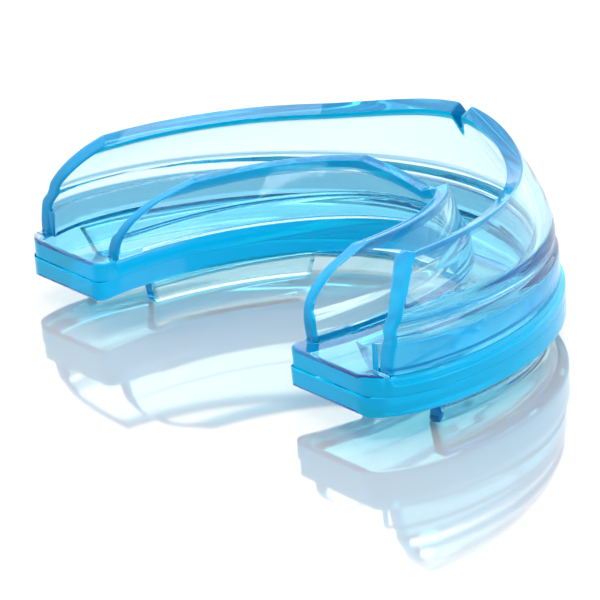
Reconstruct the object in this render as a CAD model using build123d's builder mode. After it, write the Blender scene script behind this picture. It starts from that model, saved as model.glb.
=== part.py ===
"""Clear mouth guard for an athlete with braces.

One U-shaped moulding. A thick two-layer bite plate carries a tall outer shield
for the lips, a lower inner wall for the tongue side and shallow lower ribs that
seat on the bottom teeth. Each of these stands in a node of its own, and the
pieces meet face to face along the creases of the moulding.

Frame: millimetres, +X across the mouth to the wearer's left arm as it lies,
+Y to the front of the mouth, +Z up. The origin is under the middle of the guard
on the surface that it rests on. The guard is symmetric about the YZ plane.
"""
from build123d import *
from math import cos, radians, sin
import os

# ---------------------------------------------------------------- the arch
arch_width = 70.6  # across the widest part of the bite plate
arch_length = 43.8  # from the rear ends to the front
shoulder_from_rear = 8.4  # where the straight arms meet the rounded front
arm_taper = 2.55  # how far each arm closes in from the shoulder to its end
tongue_width = 36.6  # between the arms, at the shoulder
tongue_rear_flare = -0.4  # how far the tongue space opens towards its end, each side
tongue_front_wall = 9.0  # bite plate from its front to the tongue space
tongue_fullness = 1.9  # 2 is an ellipse, less is pointed, more is square

# ---------------------------------------------------------------- the bite plate
plate_bottom = 3.05
lower_layer_thickness = 2.25
upper_layer_thickness = 2.2
lower_layer_step = 0.3  # the lower layer stands proud at the arm ends
arm_corner_radius = 2.2  # outer corner of each arm end
arm_inner_corner_radius = 1.6
tongue_undercut_side = 0.9  # the tongue face slopes out on its way down
tongue_undercut_front = 1.6
tongue_undercut_end = 0.2  # nearly upright at the arm ends

# ---------------------------------------------------------------- the outer shield
shield_thickness = 2.1  # of the upright part
shield_base_inset = 0.5  # ledge between the plate's edge and the shield
shield_bulge_height = 5.6  # above the plate, where the shield starts to curl in
shield_side_height = 11.0  # above the plate, along the arms
shield_front_height = 13.7  # above the plate, at the front
shield_curl_side = 5.6  # how far the rim curls in over the arms
shield_curl_front = 2.6  # how far the rim curls in at the front
curl_half_way = (0.35, 0.2)  # share of the curl at half its height, at the sides and at the front
curl_at_side_top = 0.6  # share of the front's curl at the height of the side rim
curl_above_side_top = 1.7  # the side's curl carried on up to the height of the front
front_rim = ((14, 0.15), (8, 0.35), (4.6, 0.8), (2.5, 1))  # distance from the front, share of the rise
rim_extra_thickness = 1.1  # the curled rim is cut level, so it measures thicker
shield_end_setback = 2.5  # from the arm end to the foot of the shield
shield_end_slope = 6.9  # how far the shield's end slopes forward up to the rim
shield_end_power = 2.2
foot_height = 3.0  # the thicker foot inside the shield
foot_thickness = 1.0
notch_width = 2.6  # relief for the lip frenum
notch_depth = 2.2

# ---------------------------------------------------------------- the inner wall
inner_thickness = 2.0
inner_height = 8.0  # above the plate
inner_lean_side = 3.3  # how far it leans over the tongue space
inner_lean_front = 2.7
inner_top_fullness = 2.2
inner_end_setback = 2.9
inner_end_slope = 9.6
inner_end_power = 3.0
tongue_notch_width = 13.6  # V-shaped relief at the front of the inner wall
tongue_notch_depth = 2.9

# ---------------------------------------------------------------- the lower ribs
lower_rib_setback = 8.3  # from the arm end to the ribs' end faces
lower_rib_thickness = 2.1
outer_rib_inset = 0.8  # from the plate's edge, at the top of the rib
outer_rib_lean = 1.6  # the outer rib slopes in on its way down
inner_rib_lean = 0.7
inner_rib_front = 16.4  # from the front of the arch back to the inner ribs' ends
rib_end_step = 0.8  # small step at the foot of each rib's end

# ---------------------------------------------------------------- worked out
half_arch = arch_width / 2
rear = -arch_length / 2
front = arch_length / 2
shoulder = rear + shoulder_from_rear
half_tongue = tongue_width / 2
tongue_front = front - tongue_front_wall
seam = plate_bottom + lower_layer_thickness
plate_top = seam + upper_layer_thickness
shield_side_top = plate_top + shield_side_height
shield_front_top = plate_top + shield_front_height
inner_top = plate_top + inner_height
behind = rear - 1  # a little behind the arm ends, for areas that are cut away
beyond = arch_width  # longer than anything that it cuts


def arch_area(half_width, front_end, rear_half_width, rear_end, fullness=2.0):
    """Fill the area between a rear line and an arch-shaped outline in front of it."""
    depth = front_end - shoulder
    power = 2 / fullness
    bend = [
        (half_width * cos(radians(turn)) ** power, shoulder + depth * sin(radians(turn)) ** power)
        for turn in (0, 18, 36, 54, 72)
    ]
    leaving = (half_width - rear_half_width, shoulder - rear_end)
    with BuildLine() as outline:
        Spline((rear_half_width, rear_end), bend[0], tangents=[leaving, (0, 1)])
        Spline(*bend, (0, front_end), tangents=[(0, 1), (-1, 0)])
        mirror(about=Plane.YZ)
        Line((-rear_half_width, rear_end), (rear_half_width, rear_end))
    make_face(outline.edges())


def outer_area(side_inset, front_inset, rear_end=rear):
    """Area inside the guard's outer outline, drawn in by an inset."""
    arch_area(half_arch - side_inset, front - front_inset, half_arch - arm_taper - side_inset, rear_end)


def tongue_area(side_growth, front_growth, rear_end=behind, fullness=tongue_fullness, rear_growth=None):
    """Area of the tongue space, made larger by a growth."""
    if rear_growth is None:
        rear_growth = side_growth
    rear_half_width = half_tongue + rear_growth + tongue_rear_flare
    arch_area(half_tongue + side_growth, tongue_front + front_growth, rear_half_width, rear_end, fullness)


def undercut(height):
    """How far the tongue face has sloped out at a height, as a share of its full slope."""
    return (plate_top - height) / (plate_top - plate_bottom)


def bite_layer(bottom, top, rear_end):
    """One layer of the bite plate."""
    with BuildPart() as layer:
        with BuildSketch(Plane.XY.offset(bottom)):
            outer_area(0, 0, rear_end)
        extrude(amount=top - bottom)
        for height in (bottom, top):
            with BuildSketch(Plane.XY.offset(height)):
                share = undercut(height)
                tongue_area(
                    share * tongue_undercut_side,
                    share * tongue_undercut_front,
                    rear_growth=share * tongue_undercut_end,
                )
        loft(mode=Mode.SUBTRACT)
        corners = edges().filter_by(lambda edge: abs(edge.center().Z - (bottom + top) / 2) < 0.01)
        corners = corners.group_by(Axis.Y)[0].sort_by(Axis.X)
        fillet([corners[0], corners[-1]], arm_corner_radius)
        corners = edges().filter_by(lambda edge: abs(edge.center().Z - (bottom + top) / 2) < 0.01)
        corners = corners.filter_by(lambda edge: abs(edge.center().X) < half_tongue + arm_inner_corner_radius)
        fillet(corners.group_by(Axis.Y)[0], arm_inner_corner_radius)
    return layer


def end_curve(setback, slope, power, bottom, height):
    """Points up the sloping end of a wall, seen from the side."""
    return [
        (rear + setback + slope * share**power, bottom + height * share)
        for share in (0, 0.25, 0.5, 0.75, 1)
    ]


# The bite plate is bonded from two layers along a seam at mid-height.
lower_bite_layer = bite_layer(plate_bottom, seam, rear)
upper_bite_layer = bite_layer(seam, plate_top, rear + lower_layer_step)

# The shield stands upright to the bulge and then curls in over the teeth.
# Levels of the curl's outer face: height, inset at the sides, inset at the front.
bulge_top = plate_top + shield_bulge_height
curl_levels = [
    (bulge_top, 0, 0),
    (
        (bulge_top + shield_side_top) / 2,
        shield_curl_side * curl_half_way[0],
        shield_curl_front * curl_half_way[1],
    ),
    (shield_side_top, shield_curl_side, shield_curl_front * curl_at_side_top),
    (shield_front_top, shield_curl_side * curl_above_side_top, shield_curl_front),
]
shield_inside = shield_base_inset + shield_thickness

with BuildPart() as outer_shield:
    with BuildSketch(Plane.XY.offset(plate_top)):
        outer_area(shield_base_inset, shield_base_inset)
    extrude(amount=shield_bulge_height)
    for height, side_curl, front_curl in curl_levels:
        with BuildSketch(Plane.XY.offset(height)):
            outer_area(shield_base_inset + side_curl, shield_base_inset + front_curl)
    loft()
    with BuildSketch(Plane.XY.offset(plate_top)):
        outer_area(shield_inside, shield_inside, behind)
    extrude(amount=shield_bulge_height, mode=Mode.SUBTRACT)
    for height, side_curl, front_curl in curl_levels:
        extra = rim_extra_thickness * min(side_curl / shield_curl_side, 1)
        with BuildSketch(Plane.XY.offset(height)):
            outer_area(shield_inside + side_curl + extra, shield_inside + front_curl, behind)
    loft(mode=Mode.SUBTRACT)
    # Seen from the side: a sloping end, a level rim along the arms, a higher front.
    with BuildSketch(Plane.YZ) as shield_side:
        with BuildLine():
            end = end_curve(
                shield_end_setback, shield_end_slope, shield_end_power, plate_top, shield_side_height
            )
            Spline(*end)
            rise = shield_front_top - shield_side_top
            rim = [(front - distance, shield_side_top + rise * share) for distance, share in front_rim]
            Spline(end[-1], *rim, tangents=[(1, 0), (1, 0)])
            Polyline(rim[-1], (front + 1, shield_front_top), (front + 1, plate_top), end[0])
        make_face()
    extrude(amount=beyond, both=True, mode=Mode.INTERSECT)
    with BuildSketch(Plane.XZ) as notch:
        with BuildLine():
            Polyline(
                (-notch_width / 2, shield_front_top + 1),
                (0, shield_front_top - notch_depth),
                (notch_width / 2, shield_front_top + 1),
                close=True,
            )
        make_face()
    extrude(amount=-beyond, mode=Mode.SUBTRACT)

# A thicker foot runs along the inside of the shield, on top of the plate.
with BuildPart() as shield_foot:
    for inset, mode in ((shield_inside, Mode.ADD), (shield_inside + foot_thickness, Mode.SUBTRACT)):
        with BuildSketch(Plane.XY.offset(plate_top)):
            outer_area(inset, inset, behind)
        extrude(amount=foot_height, mode=mode)
    split(bisect_by=Plane.XZ.offset(-rear - shield_end_setback), keep=Keep.BOTTOM)

# The inner wall continues the plate's tongue face and leans over the tongue space.
with BuildPart() as inner_wall:
    with BuildSketch(Plane.XY.offset(plate_top)):
        tongue_area(inner_thickness, inner_thickness, rear)
    with BuildSketch(Plane.XY.offset(inner_top)):
        tongue_area(
            inner_thickness - inner_lean_side, inner_thickness - inner_lean_front, rear, inner_top_fullness
        )
    loft()
    with BuildSketch(Plane.XY.offset(plate_top)):
        tongue_area(0, 0)
    with BuildSketch(Plane.XY.offset(inner_top)):
        tongue_area(-inner_lean_side, -inner_lean_front, behind, inner_top_fullness)
    loft(mode=Mode.SUBTRACT)
    with BuildSketch(Plane.YZ) as inner_side:
        with BuildLine():
            end = end_curve(inner_end_setback, inner_end_slope, inner_end_power, plate_top, inner_height)
            Spline(*end)
            Polyline(end[-1], (front, inner_top), (front, plate_top), end[0])
        make_face()
    extrude(amount=beyond, both=True, mode=Mode.INTERSECT)
    with BuildSketch(Plane.XZ) as tongue_notch:
        with BuildLine():
            Polyline(
                (-tongue_notch_width / 2, inner_top),
                (0, inner_top - tongue_notch_depth),
                (tongue_notch_width / 2, inner_top),
                close=True,
            )
        make_face()
    extrude(amount=-beyond, mode=Mode.SUBTRACT)

# The outer rib under the plate follows the whole arch and closes in on its way down.
with BuildPart() as lower_outer_rib:
    for height, inset in ((0, outer_rib_inset + outer_rib_lean), (plate_bottom, outer_rib_inset)):
        with BuildSketch(Plane.XY.offset(height)):
            outer_area(inset, inset)
    loft()
    for height, inset in ((0, outer_rib_inset + outer_rib_lean), (plate_bottom, outer_rib_inset)):
        inset = inset + lower_rib_thickness
        with BuildSketch(Plane.XY.offset(height)):
            outer_area(inset, inset, behind)
    loft(mode=Mode.SUBTRACT)
    with BuildSketch(Plane.YZ) as outer_rib_side:
        with BuildLine():
            rib_end = rear + lower_rib_setback
            Polyline(
                (rib_end, plate_bottom),
                (rib_end + rib_end_step, 0),
                (front + 1, 0),
                (front + 1, plate_bottom),
                close=True,
            )
        make_face()
    extrude(amount=beyond, both=True, mode=Mode.INTERSECT)

# Two short inner ribs, one under each arm, leave the front of the lower side open.
with BuildPart() as both_inner_ribs:
    for height, lean in ((0, inner_rib_lean), (plate_bottom, 0)):
        with BuildSketch(Plane.XY.offset(height)):
            growth = tongue_undercut_side + lean + lower_rib_thickness
            tongue_area(growth, growth, rear)
    loft()
    for height, lean in ((0, inner_rib_lean), (plate_bottom, 0)):
        with BuildSketch(Plane.XY.offset(height)):
            tongue_area(tongue_undercut_side + lean, tongue_undercut_side + lean)
    loft(mode=Mode.SUBTRACT)
    with BuildSketch(Plane.YZ) as inner_rib_side:
        with BuildLine():
            rib_end = rear + lower_rib_setback
            rib_front = front - inner_rib_front
            Polyline(
                (rib_end, plate_bottom),
                (rib_end + rib_end_step, 0),
                (rib_front - rib_end_step, 0),
                (rib_front, plate_bottom),
                close=True,
            )
        make_face()
    extrude(amount=beyond, both=True, mode=Mode.INTERSECT)

with BuildPart() as lower_inner_rib_right:
    add(both_inner_ribs.part.solids().sort_by(Axis.X)[-1])

with BuildPart() as lower_inner_rib_left:
    add(both_inner_ribs.part.solids().sort_by(Axis.X)[0])

# ---------------------------------------------------------------- write the nodes
pieces = {
    "outer_shield": outer_shield,
    "shield_foot": shield_foot,
    "inner_wall": inner_wall,
    "upper_bite_layer": upper_bite_layer,
    "lower_bite_layer": lower_bite_layer,
    "lower_outer_rib": lower_outer_rib,
    "lower_inner_rib_right": lower_inner_rib_right,
    "lower_inner_rib_left": lower_inner_rib_left,
}
os.makedirs("parts", exist_ok=True)
for name, piece in pieces.items():
    piece.part.label = name
    export_step(piece.part, f"parts/{name}.step")
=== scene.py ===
"""The looks of a clear mouth guard for braces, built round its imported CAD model."""
import math

import bmesh
import bpy
from mathutils import Matrix, Vector


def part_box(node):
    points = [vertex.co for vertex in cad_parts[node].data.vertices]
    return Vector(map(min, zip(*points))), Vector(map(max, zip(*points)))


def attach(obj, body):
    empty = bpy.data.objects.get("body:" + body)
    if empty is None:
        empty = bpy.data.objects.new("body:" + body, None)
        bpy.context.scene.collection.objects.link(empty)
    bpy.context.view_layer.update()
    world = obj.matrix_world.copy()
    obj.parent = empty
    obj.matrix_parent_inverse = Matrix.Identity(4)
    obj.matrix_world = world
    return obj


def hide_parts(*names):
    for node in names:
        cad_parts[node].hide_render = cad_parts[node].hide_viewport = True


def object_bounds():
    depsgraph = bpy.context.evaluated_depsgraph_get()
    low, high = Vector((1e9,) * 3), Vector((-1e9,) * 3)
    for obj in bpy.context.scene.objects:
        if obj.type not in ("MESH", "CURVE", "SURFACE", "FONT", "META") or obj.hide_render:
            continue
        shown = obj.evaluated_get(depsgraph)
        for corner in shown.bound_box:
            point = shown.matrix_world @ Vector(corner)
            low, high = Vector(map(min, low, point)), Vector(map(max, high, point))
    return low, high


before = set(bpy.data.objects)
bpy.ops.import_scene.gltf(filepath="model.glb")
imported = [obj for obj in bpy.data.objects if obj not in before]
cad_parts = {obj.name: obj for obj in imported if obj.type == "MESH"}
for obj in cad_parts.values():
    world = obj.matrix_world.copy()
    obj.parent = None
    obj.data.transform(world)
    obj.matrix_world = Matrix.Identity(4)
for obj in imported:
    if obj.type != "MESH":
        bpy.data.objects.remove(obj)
cad_low, cad_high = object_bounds()

MM = 0.001  # sizes below are written in millimetres and kept in metres

# ------------------------------------------------------------------ sizes from the frame
half_arch = cad_high.x
rear = cad_low.y
front = cad_high.y
plate_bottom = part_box("lower_bite_layer")[0].z
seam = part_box("upper_bite_layer")[0].z
plate_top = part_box("upper_bite_layer")[1].z
upper_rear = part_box("upper_bite_layer")[0].y
foot_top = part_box("shield_foot")[1].z
shield_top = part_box("outer_shield")[1].z
shield_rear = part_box("outer_shield")[0].y
inner_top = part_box("inner_wall")[1].z
inner_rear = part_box("inner_wall")[0].y
outer_rib_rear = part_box("lower_outer_rib")[0].y
inner_rib_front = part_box("lower_inner_rib_right")[1].y

# ------------------------------------------------------------------ the arch
shoulder = rear + 8.4 * MM  # where the arms meet the rounded front
arm_taper = 2.55 * MM
half_tongue = 18.3 * MM
tongue_rear_flare = -0.4 * MM  # the tongue space closes this much towards its end, each side
tongue_front = front - 9.0 * MM
tongue_fullness = 1.9
arm_share = 0.2  # of each half arch, along the straight arm

# ------------------------------------------------------------------ the bite plate
bond_gap = 0.01 * MM  # half of the hair's breadth left between bonded faces
outer_corner = 2.2 * MM
inner_corner = 1.6 * MM
undercut_side = 0.9 * MM
undercut_front = 1.6 * MM
undercut_end = 0.2 * MM  # the tongue face is nearly upright at the arm ends
ledge_drop = 1.05 * MM  # the shield's outer face starts this far below the plate's top
ledge_run_out = 0.6 * MM  # the ledge fades in this far behind the shield's end
ledge_run_in = 0.2 * MM
ledge_lip_width = 0.85  # share of the shield's inset
ledge_lip_drop = 0.9  # share of the ledge's drop
seam_edge = 0.06 * MM  # softness of the edges along the seam
seam_end_round = 0.12 * MM
top_end_round = 0.35 * MM
bottom_end_round = 0.5 * MM
ledge_edge = 0.15 * MM
ledge_lip_edge = 0.08 * MM
top_edge = 0.3 * MM
bottom_inner_edge = 0.3 * MM
bottom_outer_edge = 0.8 * MM

# ------------------------------------------------------------------ the outer shield
shield_inset = 0.5 * MM
shield_wall = 2.1 * MM
shield_rim_wall_side = 3.1 * MM  # the curled rim is cut level, so it measures thicker
shield_rim_wall_front = 2.0 * MM
rim_wall_start = 12.0 * MM  # height where the wall starts to change towards the rim's
shield_side_height = 11.0 * MM
shield_end_slope = 6.9 * MM
shield_end_power = 2.2
shield_end_arch = 3.0 * MM  # the sloping end follows an arch this far inside the front
crest_even_share = 0.33  # of the rim's rise, spread evenly from the arms to the front
crest_front_start = 0.55
bands_side = (11.2 * MM, 12.2 * MM, 13.3 * MM)  # heights of the base's swelling, the groove and the ridge
bands_front = (10.5 * MM, 11.3 * MM, 12.1 * MM)
bands_fall_end = 0.75  # how far along the arch the bands have come down to the front's heights
groove_depth = 0.65 * MM
ridge_height = 0.4 * MM
groove_run = 0.3 * MM
side_curl_start = 11.2 * MM
side_curl = 5.0 * MM
side_curl_power = 1.7
front_curl_start = 13.0 * MM
front_curl = 2.5 * MM
front_curl_power = 1.4
shield_rim_drop = 0.9 * MM  # from the rim's outer edge down to its inner one
shield_neck = 1.4 * MM  # the rim's rounding starts this far below it
shield_crest_edge = 0.9 * MM
shield_lip_edge = 0.45 * MM
lip_notch_half = 1.3 * MM
lip_notch_depth = 2.0 * MM
lip_notch_line = 4.0 * MM  # the notch is measured along this inset
foot_wall = 1.0 * MM
foot_edge = 0.35 * MM
foot_lean = 0.15 * MM
foot_end_round = 0.12 * MM

# ------------------------------------------------------------------ the inner wall
inner_wall_thickness = 2.0 * MM
inner_step = 0.45 * MM  # the wall is this much thinner above the height of the shield's foot
inner_step_start = 0.5 * MM  # below that height
inner_step_end = 0.1 * MM  # above it
inner_end_slope = 9.6 * MM
inner_end_power = 3.0
inner_lean_side = 3.3 * MM
inner_lean_side_power = 1.3
inner_lean_front = 2.7 * MM
inner_lean_front_power = 1.1
inner_top_fullness = 2.2
inner_rim_drop = 0.25 * MM
inner_neck = 1.2 * MM
inner_crest_edge = 0.7 * MM
inner_lip_edge = 0.5 * MM
tongue_notch_half = 6.8 * MM
tongue_notch_depth = 2.9 * MM

# ------------------------------------------------------------------ the lower ribs
rib_wall = 2.1 * MM
rib_edge = 0.7 * MM
rib_end_step = 0.8 * MM
outer_rib_inset = 0.8 * MM
outer_rib_lean = 1.6 * MM
inner_rib_inset = 0.3 * MM
inner_rib_lean = 0.7 * MM
inner_rib_length = 20.0 * MM
inner_rib_end_round = 0.5 * MM

# ------------------------------------------------------------------ looks: painted shade, ends and rows
edge_painted_shade = 1.0  # painted shade on the walls' ends and the plate's sides, standing in for the deep colour light gets there
crest_painted_shade = 0.5  # painted shade on the rims, at half strength so that they also shine
crest_run = 0.1 * MM  # a crest's painted shade starts this far below its top
shield_lip_run = (-1.0 * MM, -0.4 * MM)  # where the painted shade comes in, from the rim's inner edge
inner_lip_run = (-1.3 * MM, -0.8 * MM)
# painted shade on the swelling round the shield's base
swelling_painted_shade = 0.78
swelling_run = (-1.6 * MM, -0.9 * MM)  # where its painted shade goes out, from the groove
# painted shade in the groove above the swelling
groove_painted_shade = 0.65
groove_start_run = (-0.1 * MM, 0.3 * MM)  # where its painted shade comes in, from the groove
groove_end_run = (-0.4 * MM, 0.2 * MM)  # and goes out, from the ridge
# painted shade on the ribs' ends
rib_end_painted_shade = 0.3
end_round = 0.55 * MM  # softness of the walls' end faces
end_steps = 6  # rows of faces round a softened end
corner_steps = 12  # stations round the plate's corners
plate_steps = 110
near_end, near_front = 0.12, 0.92  # a wall's stations are closer before and after these shares
near_end_steps, arm_steps, near_front_steps = 20, 80, 24
foot_levels, shield_levels, inner_wall_levels = 4, 24, 20
half_arch_length = 60.0 * MM  # roughly, from an arm's end round to the front
hair = 1e-5  # share of the arch left between the two sides of a sudden change
merge_distance = 0.0005 * MM
longest_round = 0.45  # of a side that a soft corner may take


def blend(low, high, share):
    return low + (high - low) * share


def ramp(value, low, high):
    """0 below low, 1 above high, smooth between."""
    share = min(max((value - low) / (high - low), 0), 1)
    return share * share * (3 - 2 * share)


def ramp_from(height, level, run):
    """A ramp over a run of heights that is measured from a level."""
    return ramp(height, level + run[0], level + run[1])


# ------------------------------------------------------------------ outlines
def arch(along, half_width, front_end, rear_half_width, fullness=2.0):
    """Point of an outline's right half, from its arm end (0) to the front (1)."""
    if along < arm_share:
        share = along / arm_share
        x = half_width + (rear_half_width - half_width) * (1 - share) ** 2
        return x, blend(rear, shoulder, share)
    turn = (along - arm_share) / (1 - arm_share) * math.pi / 2
    x = half_width * max(math.cos(turn), 0) ** (2 / fullness)
    return x, shoulder + (front_end - shoulder) * math.sin(turn) ** (2 / fullness)


def outer(along, side, front_inset=None):
    """Point inside the guard's outer outline, drawn in by an inset."""
    front_inset = side if front_inset is None else front_inset
    return arch(along, half_arch - side, front - front_inset, half_arch - arm_taper - side)


def tongue(along, side, front_growth=None, fullness=tongue_fullness, rear_growth=None):
    """Point outside the tongue space's outline, let out by a growth."""
    front_growth = side if front_growth is None else front_growth
    rear_growth = side if rear_growth is None else rear_growth
    rear_half_width = half_tongue + rear_growth + tongue_rear_flare
    return arch(along, half_tongue + side, tongue_front + front_growth, rear_half_width, fullness)


def tongue_face(along, height, inset=0.0):
    """Point of the plate's tongue face, which slopes out on its way down."""
    share = (plate_top - height) / (plate_top - plate_bottom)
    slopes = (undercut_side, undercut_front, undercut_end)
    side, in_front, end = (inset + share * slope for slope in slopes)
    return tongue(along, side, in_front, tongue_fullness, end)


def along_at(y, front_end, fullness=2.0):
    """How far along an outline the station with a given y lies."""
    if y <= shoulder:
        return arm_share * (y - rear) / (shoulder - rear)
    turn = math.asin(((y - shoulder) / (front_end - shoulder)) ** (fullness / 2))
    return arm_share + (1 - arm_share) * turn / (math.pi / 2)


# ------------------------------------------------------------------ sections and sweeps
class Corner:
    """A corner of a section: its place, its softness and the look of the side that follows it.

    A look is how much painted shade the side has, from 0 to 1, or "bonded" where it meets a neighbour.
    """

    def __init__(self, place, z, soft=None, look=0):
        self.point = Vector((place[0], place[1], z))
        self.soft = soft
        self.look = look


def soften(corners, steps=4):
    """Round a closed loop's soft corners. Returns its points and the look of each side."""
    points, looks = [], []
    for index, corner in enumerate(corners):
        before = corners[index - 1].point - corner.point
        after = corners[(index + 1) % len(corners)].point - corner.point
        if corner.soft is None:
            points.append(corner.point)
            looks.append(corner.look)
            continue
        reach = min(corner.soft, before.length * longest_round, after.length * longest_round)
        first = corner.point + (before.normalized() * reach if before.length else before)
        last = corner.point + (after.normalized() * reach if after.length else after)
        # a bonded corner's rounding takes the edge's painted shade
        rounded = edge_painted_shade if corner.look == "bonded" else corner.look
        for step in range(steps + 1):
            share = step / steps
            halfway = first.lerp(corner.point, share)
            points.append(halfway.lerp(corner.point.lerp(last, share), share))
            looks.append(corner.look if step == steps else rounded)
    return points, looks


def finish_piece(name, bm, material, slot, *nodes):
    """Turn a finished bmesh into a piece that rides the guard and stands for its CAD nodes."""
    mesh = bpy.data.meshes.new(name)
    bm.to_mesh(mesh)
    bm.free()
    mesh.shade_smooth()
    mesh.materials.append(material)
    piece = bpy.data.objects.new(name, mesh)
    bpy.context.scene.collection.objects.link(piece)
    even = piece.modifiers.new("even_shading", "WEIGHTED_NORMAL")
    even.weight = 80
    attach(piece, "root")
    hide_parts(*nodes)


def sweep(stations, section, mirrored=True, end_rows=end_steps + 1, end_painted_shade=edge_painted_shade):
    """A closed skin through the section at every station, over both halves of the arch.

    Its faces carry two marks: how much painted shade they have, and whether they are shown, as bonded faces
    aren't.
    """
    loops = [soften(section(*station)) for station in stations]
    if mirrored:
        across = Vector((-1, 1, 1))
        other_half = reversed(loops[:-1])
        loops += [([point * across for point in points], looks) for points, looks in other_half]
    rows, columns = len(loops) - 1, len(loops[0][0])
    bm = bmesh.new()
    bmesh.ops.create_grid(bm, x_segments=rows, y_segments=columns, size=0.5)
    painted_shade_mark, shown_mark = (bm.faces.layers.float.new(name) for name in ("painted_shade", "shown"))
    for face in bm.faces:
        middle = face.calc_center_median()
        row = int((middle.x + 0.5) * rows)
        column = int((middle.y + 0.5) * columns)
        sides = [loops[row][1][column], loops[row + 1][1][column]]
        at_end = not end_rows <= row < rows - end_rows
        at_base = column == columns - 1
        if sides == ["bonded", "bonded"] and (at_base or not at_end):
            continue
        face[shown_mark] = 1
        painted_shades = [side for side in sides if side != "bonded"]
        # painted shade of the face: the end's at the ends, else the mean of its two sides
        face[painted_shade_mark] = end_painted_shade if at_end else sum(painted_shades) / 2
    for vert in bm.verts:
        row = round((vert.co.x + 0.5) * rows)
        column = round((vert.co.y + 0.5) * columns) % columns
        vert.co = loops[row][0][column]
    bmesh.ops.remove_doubles(bm, verts=bm.verts, dist=merge_distance)
    rims = [edge for edge in bm.edges if edge.is_boundary]
    ends = bmesh.ops.holes_fill(bm, edges=rims, sides=0)["faces"]
    for face in ends:
        face[shown_mark] = 1
        # the end caps take the end's painted shade
        face[painted_shade_mark] = end_painted_shade
    bmesh.ops.recalc_face_normals(bm, faces=bm.faces)
    return bm


def spread(low, high, count):
    """Evenly spread values from low up to just before high."""
    return [blend(low, high, index / count) for index in range(count)]


def wall_stations(half_thickness, soft=end_round, length=half_arch_length):
    """Stations of a wall from its softened end to the front: share along, share of full thickness."""
    stations = [(0, 0)]
    for step in range(end_steps):
        turn = step / end_steps * math.pi / 2
        share = soft * (1 - math.cos(turn)) / length
        stations.append((share, 1 - soft / half_thickness * (1 - math.sin(turn))))
    along = spread(soft / length, near_end, near_end_steps) + spread(near_end, near_front, arm_steps)
    along += spread(near_front, 1, near_front_steps) + [1]
    return stations + [(share, 1) for share in along]


# ------------------------------------------------------------------ the bite plate
def corner_inset(distance, radius):
    """How far a rounded corner has drawn in at a distance from the end."""
    if distance >= radius:
        return 0
    return radius - math.sqrt(radius**2 - (radius - distance) ** 2)


def inner_rib_tip():
    """How far along the tongue edge the inner ribs reach."""
    return along_at(inner_rib_front, tongue_front + undercut_side, tongue_fullness)


def plate_stations(end):
    """Where a layer's section is drawn: close round its corner and on both sides of each change."""
    per_metre = arm_share / (shoulder - rear)
    turns = [step / corner_steps * math.pi / 2 for step in range(corner_steps)]
    stations = [(end - rear + outer_corner * (1 - math.cos(turn))) * per_metre for turn in turns]
    first = stations[0]
    changes = [(y - rear) * per_metre for y in (upper_rear, shield_rear, inner_rear, outer_rib_rear)]
    for along in changes + [inner_rib_tip()]:
        stations += [along - hair, along + hair]
    stations += spread((end - rear + outer_corner) * per_metre, 1, plate_steps) + [1]
    return [(along, end) for along in sorted(set(stations)) if along >= first]


def end_distance(along, end):
    """How far a station lies from the layer's end."""
    return max((along * (shoulder - rear) / arm_share) - (end - rear), 0)


def upper_section(along, end):
    """Section of the upper layer, from the seam's outer edge up, over the floor and down the tongue face."""
    distance = end_distance(along, end)
    drawn_out = corner_inset(distance, outer_corner)
    drawn_in = corner_inset(distance, inner_corner)
    top = plate_top - corner_inset(distance, top_end_round)
    low = seam + bond_gap + corner_inset(distance, seam_end_round)
    has_shield = along >= along_at(shield_rear, front)
    has_inner = along >= along_at(inner_rear, front)
    ledge_start = along_at(shield_rear - ledge_run_out, front)
    ledge = ramp(along, ledge_start, along_at(shield_rear + ledge_run_in, front))
    ledge_low = top - ledge_drop * ledge
    ledge_lip = top - ledge_drop * ledge * ledge_lip_drop
    inset = shield_inset * ledge
    inside = shield_inset + shield_wall
    shield_floor = top - bond_gap * has_shield
    inner_floor = top - bond_gap * has_inner
    shield_edge = 0 if has_shield else top_edge
    inner_edge = 0 if has_inner else top_edge
    under_shield = "bonded" if has_shield else 0
    under_inner = "bonded" if has_inner else 0
    inner_base = max(drawn_in, inner_wall_thickness)
    # the outer side, the ledge and the tongue edge carry the edge's painted shade
    return [
        Corner(outer(along, drawn_out), low, seam_edge, edge_painted_shade),
        Corner(outer(along, drawn_out), ledge_low, ledge_edge, edge_painted_shade),
        Corner(outer(along, drawn_out + inset * ledge_lip_width), ledge_lip, ledge_lip_edge, edge_painted_shade),
        Corner(outer(along, drawn_out + inset), shield_floor, shield_edge, under_shield),
        Corner(outer(along, max(drawn_out, inside)), shield_floor, None, under_shield),
        Corner(outer(along, inside + foot_wall), shield_floor),
        Corner(tongue(along, inner_base), inner_floor, None, under_inner),
        Corner(tongue(along, drawn_in), inner_floor, inner_edge, edge_painted_shade),
        Corner(tongue_face(along, low, drawn_in), low, seam_edge, "bonded"),
    ]


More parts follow.
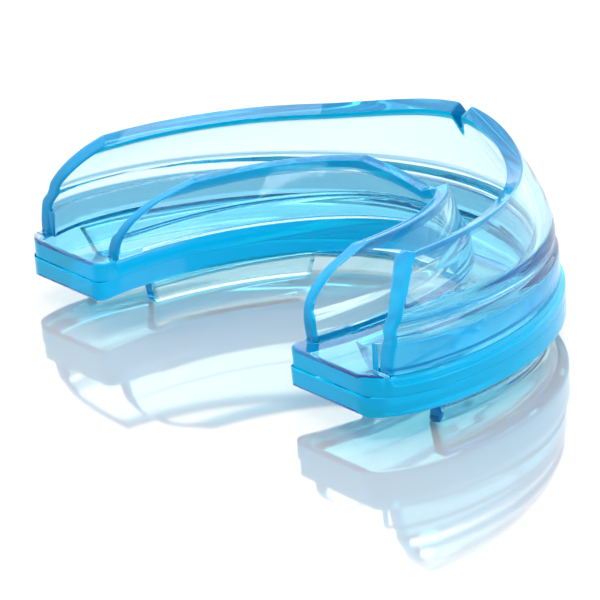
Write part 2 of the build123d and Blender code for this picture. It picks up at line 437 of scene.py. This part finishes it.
def lower_section(along, end):
    """Section of the lower layer, from the seam's outer edge in, down the tongue face and back below."""
    distance = end_distance(along, end)
    drawn_out = corner_inset(distance, outer_corner)
    drawn_in = corner_inset(distance, inner_corner)
    top = seam - bond_gap - corner_inset(distance, seam_end_round)
    low = plate_bottom + corner_inset(distance, bottom_end_round)
    has_upper = along >= along_at(upper_rear, front)
    has_outer = along >= along_at(outer_rib_rear, front)
    has_inner = has_outer and along <= inner_rib_tip()
    under_upper = "bonded" if has_upper else edge_painted_shade
    over_outer = "bonded" if has_outer else 0
    over_inner = "bonded" if has_inner else 0
    rib_inside = max(drawn_out, outer_rib_inset + rib_wall)
    rib_outside = max(drawn_out, outer_rib_inset) + bond_gap

    def tongue_side(inset):
        return tongue_face(along, plate_bottom, inset)

    # the outer side and the tongue face carry the edge's painted shade
    return [
        Corner(outer(along, drawn_out), top, seam_edge, under_upper),
        Corner(tongue_face(along, top, drawn_in), top, seam_edge, edge_painted_shade),
        Corner(tongue_side(drawn_in), low, bottom_inner_edge),
        Corner(tongue_side(drawn_in + inner_rib_inset), low, None, over_inner),
        Corner(tongue_side(max(drawn_in, rib_wall)), low),
        Corner(outer(along, rib_inside), low, None, over_outer),
        Corner(outer(along, rib_outside), low),
        Corner(outer(along, drawn_out), low, bottom_outer_edge, edge_painted_shade),
    ]


# ------------------------------------------------------------------ shield, foot and inner wall
def shield_crest(along):
    """Height of the shield's rim: level along the arms, higher in front."""
    turn = (along - arm_share) / (1 - arm_share)
    rise = shield_top - plate_top - shield_side_height
    even = crest_even_share * max(turn, 0)
    steep = (1 - crest_even_share) * ramp(turn, crest_front_start, 1)
    return plate_top + shield_side_height + rise * (even + steep)


def shield_bands(along):
    """Heights of the swelling round the shield's base, the groove above it and the ridge."""
    fall = ramp(along, arm_share, bands_fall_end)
    return [blend(side, in_front, fall) for side, in_front in zip(bands_side, bands_front)]


def shield_outer(along, z, crest):
    """Insets of the shield's outer face at a height: at the sides and at the front."""
    swelling, groove, ridge = shield_bands(along)
    band = groove_depth * ramp(z, swelling - groove_run, groove) - ridge_height * ramp(z, groove, ridge)
    side_climb = max((z - side_curl_start) / (crest - side_curl_start), 0)
    front_climb = max((z - front_curl_start) / (crest - front_curl_start), 0)
    side = shield_inset + band + side_curl * side_climb**side_curl_power
    return side, shield_inset + band + front_curl * front_climb**front_curl_power


def wall_section(face, painted_shade, levels, crest, lip, crest_soft, lip_soft, bonded_below):
    """Section of a wall: up its outer face, over its crest and down its inner face to its base.

    face(z, side) places it and the second function, given (z, side), says how much painted shade it has,
    with side -1 outside and 1 inside.
    """
    neck = levels[-1]
    quarters = (0.25, 0.5, 0.75)
    outer_levels = levels + [blend(neck, crest, share) for share in quarters]
    inner_levels = levels + [blend(neck, lip, share) for share in quarters]
    up = [Corner(face(z, -1), z, None, painted_shade(z, -1)) for z in outer_levels]
    crown = [
        Corner(face(crest, -1), crest, crest_soft, painted_shade(crest, -1)),
        Corner(face(lip, 1), lip, lip_soft, edge_painted_shade),
    ]
    down = []
    for z in reversed(inner_levels):
        down.append(Corner(face(z, 1), z, None, "bonded" if z <= bonded_below else painted_shade(z, 1)))
    down[-1].look = "bonded"
    return up + crown + down


def shield_section(share, thickness):
    """Section of the shield, with a share of its full thickness."""

    def station(z):
        """How far along the arch the section stands at a height, as the end slopes."""
        climb = min(max(z - plate_top, 0) / shield_side_height, 1)
        end = shield_rear + shield_end_slope * climb**shield_end_power
        start = along_at(end, front - shield_end_arch)
        return start + (1 - start) * share

    crest = shield_crest(station(plate_top + shield_side_height))
    x = outer(station(crest), lip_notch_line)[0]
    notch = lip_notch_depth * (1 - ramp(x, 0, lip_notch_half))

    def face(z, side):
        """Place on the outer face (side -1) or the channel face (side 1)."""
        out_side, out_front = shield_outer(station(z), z, crest)
        if z <= foot_top:
            wall = shield_inset + shield_wall - out_side
            front_wall = shield_inset + shield_wall - out_front
        else:
            curl = ramp(z, rim_wall_start, crest)
            wall = blend(shield_wall, shield_rim_wall_side, curl)
            front_wall = blend(shield_wall, shield_rim_wall_front, curl)
        reach = (1 + side * thickness) / 2
        return outer(station(z), out_side + wall * reach, out_front + front_wall * reach)

    rim = crest - notch
    lip = rim - shield_rim_drop * thickness
    low = plate_top + bond_gap
    neck = rim - shield_neck
    levels = spread(low, foot_top, foot_levels) + spread(foot_top, neck, shield_levels) + [neck]
    groove, ridge = shield_bands(station(crest))[1:]

    def painted_shade(z, side):
        """Painted shade on the rim, the swelling round the base and the groove; the rest is clear."""
        if side > 0:
            return edge_painted_shade * ramp_from(z, lip, shield_lip_run)
        swelling = swelling_painted_shade * (1 - ramp_from(z, groove, swelling_run))
        into_groove = ramp_from(z, groove, groove_start_run)
        band = groove_painted_shade * into_groove * (1 - ramp_from(z, ridge, groove_end_run))
        return swelling + band + crest_painted_shade * ramp(z, rim - crest_run, rim)

    return wall_section(face, painted_shade, levels, rim, lip, shield_crest_edge, shield_lip_edge, foot_top)


def foot_section(share, thickness):
    start = along_at(shield_rear, front)
    along = start + (1 - start) * share
    middle = shield_inset + shield_wall + bond_gap + foot_wall / 2
    low = plate_top + bond_gap

    def face(side, lean=0.0):
        return outer(along, middle + side * thickness * (foot_wall / 2 - lean))

    return [
        Corner(face(-1), low, None, "bonded"),
        Corner(face(-1), foot_top),
        Corner(face(1, foot_lean), foot_top, foot_edge),
        Corner(face(1), low, None, "bonded"),
    ]


def inner_section(share, thickness):
    """Section of the inner wall, with a share of its full thickness."""
    height = inner_top - plate_top

    def station(z):
        """How far along the arch the section stands at a height, as the end slopes."""
        climb = min(max(z - plate_top, 0) / height, 1)
        end = inner_rear + inner_end_slope * climb**inner_end_power
        start = along_at(end, tongue_front, tongue_fullness)
        return start + (1 - start) * share

    def face(z, side):
        """Place on the channel face (side -1) or the tongue face (side 1)."""
        climb = (z - plate_top) / height
        fullness = blend(tongue_fullness, inner_top_fullness, climb)
        thinned = ramp(z, foot_top - inner_step_start, foot_top + inner_step_end)
        wall = inner_wall_thickness - inner_step * thinned
        reach = wall * (1 - side * thickness) / 2
        side_lean = inner_lean_side * climb**inner_lean_side_power
        front_lean = inner_lean_front * climb**inner_lean_front_power
        return tongue(station(z), reach - side_lean, reach - front_lean, fullness)

    x = face(inner_top, 1)[0]
    rim = inner_top - tongue_notch_depth * max(1 - x / tongue_notch_half, 0)
    lip = rim - inner_rim_drop * thickness
    low = plate_top + bond_gap
    neck = rim - inner_neck
    levels = spread(low, neck, inner_wall_levels) + [neck]

    def painted_shade(z, side):
        """Painted shade on the rim and the upper edge of the tongue face."""
        if side < 0:
            return crest_painted_shade * ramp(z, rim - crest_run, rim)
        return edge_painted_shade * ramp_from(z, lip, inner_lip_run)

    return wall_section(face, painted_shade, levels, rim, lip, inner_crest_edge, inner_lip_edge, low)


# ------------------------------------------------------------------ ribs
def rib_section(place, span, share, thickness):
    """Section of a lower rib, from the plate down to the floor.

    place(along, depth, side) is a point of it and span(depth) is how far along it starts and ends, with
    depth 0 under the plate and 1 on the floor, and side -1 on one face and 1 on the other.
    """
    high = plate_bottom - bond_gap
    levels = [high * step for step in (1, 0.66, 0.33)]

    def face(z, side):
        depth = 1 - z / plate_bottom
        start, stop = span(depth)
        return place(start + (stop - start) * share, depth, side * thickness)

    up = [Corner(face(z, -1), z) for z in levels]
    foot = [Corner(face(0, side), 0, rib_edge) for side in (-1, 1)]
    down = [Corner(face(z, 1), z, None, "bonded" if z == high else 0) for z in reversed(levels)]
    return up + foot + down


def outer_rib_section(share, thickness):
    def place(along, depth, side):
        return outer(along, outer_rib_inset + outer_rib_lean * depth + rib_wall * (1 + side) / 2)

    def span(depth):
        return along_at(outer_rib_rear + rib_end_step * depth, front), 1

    return rib_section(place, span, share, thickness)


def inner_rib_section(share, thickness):
    def place(along, depth, side):
        growth = undercut_side + inner_rib_lean * depth + rib_wall * (1 + side) / 2
        return tongue(along, growth + inner_rib_inset)

    def span(depth):
        tip = tongue_front + undercut_side
        start = along_at(outer_rib_rear + rib_end_step * depth, tip, tongue_fullness)
        return start, along_at(inner_rib_front - rib_end_step * depth, tip, tongue_fullness)

    return rib_section(place, span, share, thickness)


# ------------------------------------------------------------------ materials
class Nodes:
    """The nodes of a material or of the world, added one at a time."""

    def __init__(self, owner, output_kind):
        owner.use_nodes = True
        self.tree = owner.node_tree
        self.tree.nodes.clear()
        self.output_kind = output_kind

    def add(self, kind, settings=None, sockets=None):
        """Add a node, set its settings and then its sockets, to values or from other sockets."""
        node = self.tree.nodes.new(kind)
        for name, value in (settings or {}).items():
            setattr(node, name, value)
        for name, value in (sockets or {}).items():
            if isinstance(value, bpy.types.NodeSocket):
                self.tree.links.new(value, node.inputs[name])
            else:
                node.inputs[name].default_value = value
        return node.outputs

    def show(self, **sockets):
        """Add the output node that shows what the others make."""
        self.add(self.output_kind, None, sockets)


def material_nodes(name):
    material = bpy.data.materials.new(name)
    return material, Nodes(material, "ShaderNodeOutputMaterial")


silicone_ior = 1.41
ripple_scale = 60.0
ripple_height = 0.5 * MM
ripple_strength = 0.1
clear_skin = {
    "Base Color": (1, 1, 1, 1),
    "Transmission Weight": 1.0,
    "Roughness": 0.02,
    "Specular IOR Level": 0.5,
}
# skin of the painted shade: dull dark cyan that lets little light through
painted_shade_skin = {"Transmission Weight": 0.4, "Roughness": 0.07, "Specular IOR Level": 0.12}


def silicone(name, depth_colour, depth_density, painted_shade_colour):
    """Cyan silicone: clear where thin, tinted cyan in its depth, with painted shade at its edges, rims and
    bands, unseen where bonded.
    """
    material, nodes = material_nodes(name)
    place = nodes.add("ShaderNodeTexCoord")["Object"]
    wave_sockets = {"Vector": place, "Scale": ripple_scale, "Detail": 1.0}
    wave = nodes.add("ShaderNodeTexNoise", None, wave_sockets)["Fac"]
    bump_sockets = {"Strength": ripple_strength, "Distance": ripple_height, "Height": wave}
    bump = nodes.add("ShaderNodeBump", None, bump_sockets)["Normal"]
    # the painted shade mark, which mixes the painted shade's skin over the clear one
    painted_shade = nodes.add("ShaderNodeAttribute", {"attribute_name": "painted_shade"})["Fac"]
    shown = nodes.add("ShaderNodeAttribute", {"attribute_name": "shown"})["Fac"]

    def skin(look):
        shared = {"IOR": silicone_ior, "Alpha": shown, "Normal": bump}
        return nodes.add("ShaderNodeBsdfPrincipled", None, look | shared)["BSDF"]

    clear = skin(clear_skin)
    edge = skin(painted_shade_skin | {"Base Color": painted_shade_colour})
    surface = nodes.add("ShaderNodeMixShader", None, {0: painted_shade, 1: clear, 2: edge})["Shader"]
    absorbed = {"Color": depth_colour, "Density": depth_density}
    volume = nodes.add("ShaderNodeVolumeAbsorption", None, absorbed)["Volume"]
    nodes.show(Surface=surface, Volume=volume)
    return material


wall_silicone = silicone(
    "clear_cyan_silicone",
    depth_colour=(0.0, 0.80, 0.955, 1),
    depth_density=110.0,
    painted_shade_colour=(0.0, 0.43, 0.82, 1),
)
plate_silicone = silicone(
    "deep_cyan_silicone",
    depth_colour=(0.0, 0.83, 0.96, 1),
    depth_density=200.0,
    painted_shade_colour=(0.0, 0.64, 1.0, 1),
)

# ------------------------------------------------------------------ build the pieces
walls = wall_stations(shield_wall / 2)
foot_walls = wall_stations(foot_wall / 2, foot_end_round)
shield = sweep(walls, shield_section)
foot = sweep(foot_walls, foot_section)
tongue_wall = sweep(walls, inner_section)
upper_layer = sweep(plate_stations(upper_rear), upper_section, end_rows=0)
lower_layer = sweep(plate_stations(rear), lower_section, end_rows=0)
outer_rib = sweep(walls, outer_rib_section, end_painted_shade=rib_end_painted_shade)
finish_piece("shield", shield, wall_silicone, "clear_wall", "outer_shield")
finish_piece("shield_inside_foot", foot, wall_silicone, "clear_wall", "shield_foot")
finish_piece("tongue_wall", tongue_wall, wall_silicone, "clear_wall", "inner_wall")
finish_piece("upper_plate_layer", upper_layer, plate_silicone, "clear_plate", "upper_bite_layer")
finish_piece("lower_plate_layer", lower_layer, plate_silicone, "clear_plate", "lower_bite_layer")
finish_piece("outer_rib", outer_rib, wall_silicone, "clear_wall", "lower_outer_rib")

rib_stations = wall_stations(rib_wall / 2, inner_rib_end_round, inner_rib_length)
rib_near = [station for station in rib_stations if station[0] < 0.5]
rib_far = [(1 - share, thickness) for share, thickness in reversed(rib_near)]
for name, across in (("right", 1), ("left", -1)):
    rib = sweep(rib_near + rib_far, inner_rib_section, mirrored=False, end_painted_shade=rib_end_painted_shade)
    if across < 0:
        bmesh.ops.scale(rib, vec=(-1, 1, 1), verts=rib.verts)
        bmesh.ops.recalc_face_normals(rib, faces=rib.faces)
    finish_piece(f"inner_rib_{name}", rib, wall_silicone, "clear_wall", f"lower_inner_rib_{name}")

# ------------------------------------------------------------------ floor
floor_material, floor_nodes = material_nodes("gloss_white_floor")
matt = floor_nodes.add("ShaderNodeBsdfDiffuse", None, {"Color": (0.50, 0.505, 0.51, 1)})["BSDF"]
gloss = {"Color": (1, 1, 1, 1), "Roughness": 0.06}
mirror = floor_nodes.add("ShaderNodeBsdfGlossy", None, gloss)["BSDF"]
mirror_share = 0.34
mixed = {0: mirror_share, 1: matt, 2: mirror}
floor_nodes.show(Surface=floor_nodes.add("ShaderNodeMixShader", None, mixed)["Shader"])

floor_half = 6.0
floor_gap = 0.02 * MM
floor_bm = bmesh.new()
bmesh.ops.create_grid(floor_bm, x_segments=1, y_segments=1, size=floor_half)
bmesh.ops.translate(floor_bm, vec=(0, 0, -floor_gap), verts=floor_bm.verts)
floor_mesh = bpy.data.meshes.new("floor")
floor_bm.to_mesh(floor_mesh)
floor_bm.free()
floor_mesh.materials.append(floor_material)
floor = bpy.data.objects.new("floor", floor_mesh)
bpy.context.scene.collection.objects.link(floor)

# ------------------------------------------------------------------ light
bright_side = (-0.82, 0.57, 0.0)  # the studio is brightest behind the guard
bright_from, bright_to = -0.6, 0.7
dim_strength, bright_strength = 0.55, 1.9
world = bpy.data.worlds.new("white_studio")
air = Nodes(world, "ShaderNodeOutputWorld")
direction = air.add("ShaderNodeTexCoord")["Generated"]
turned = {0: direction, 1: bright_side}
facing = air.add("ShaderNodeVectorMath", {"operation": "DOT_PRODUCT"}, turned)["Value"]
fade = {
    "Value": facing,
    "From Min": bright_from,
    "From Max": bright_to,
    "To Min": dim_strength,
    "To Max": bright_strength,
}
strength = air.add("ShaderNodeMapRange", None, fade)["Result"]
white = {"Color": (1.0, 1.0, 1.0, 1), "Strength": strength}
air.show(Surface=air.add("ShaderNodeBackground", None, white)["Background"])
bpy.context.scene.world = world


def softbox(name, place, aim, size, power):
    """A rectangular lamp at a place, turned to face a point."""
    lamp = bpy.data.lights.new(name, "AREA")
    lamp.shape = "RECTANGLE"
    lamp.size, lamp.size_y = size
    lamp.energy = power
    box = bpy.data.objects.new(name, lamp)
    bpy.context.scene.collection.objects.link(box)
    box.location = place
    box.rotation_mode = "QUATERNION"
    box.rotation_quaternion = (Vector(aim) - Vector(place)).to_track_quat("-Z", "Y")


softbox("top_softbox", place=(-0.12, 0.16, 0.45), aim=(0, 0, 0), size=(0.30, 0.16), power=0.6)
softbox("side_softbox", place=(0.25, -0.10, 0.45), aim=(0, 0, 0), size=(0.25, 0.08), power=0.6)
softbox("left_softbox", place=(0.30, 0.25, 0.35), aim=(0, 0, 0.01), size=(0.20, 0.20), power=0.5)

# ------------------------------------------------------------------ camera
view_azimuth = math.radians(54.82)
view_elevation = math.radians(20.29)
view_roll = math.radians(-4.12)
view_distance = 0.446
view_centre = Vector((-0.0026, -0.0045, 0.0018))
right = Vector((math.cos(view_azimuth), math.sin(view_azimuth), 0))
back = Vector((
    math.sin(view_azimuth) * math.cos(view_elevation),
    -math.cos(view_azimuth) * math.cos(view_elevation),
    math.sin(view_elevation),
))
above = back.cross(right)
tilted_right = right * math.cos(view_roll) + above * math.sin(view_roll)
tilted_above = above * math.cos(view_roll) - right * math.sin(view_roll)
lens = bpy.data.cameras.new("camera")
lens.sensor_width = 36
lens.lens = 234.8
lens.shift_x = -0.004
lens.shift_y = 0.012
lens.clip_start = 0.01
camera = bpy.data.objects.new("camera", lens)
bpy.context.scene.collection.objects.link(camera)
facing_guard = Matrix((tilted_right, tilted_above, back)).transposed().to_4x4()
camera.matrix_world = Matrix.Translation(view_centre + back * view_distance) @ facing_guard
bpy.context.scene.camera = camera

# ------------------------------------------------------------------ enough bounces for clear walls
scene = bpy.context.scene
scene.view_settings.view_transform = "Standard"
scene.cycles.max_bounces = 40
scene.cycles.transmission_bounces = 32
scene.cycles.glossy_bounces = 8
scene.cycles.transparent_max_bounces = 64
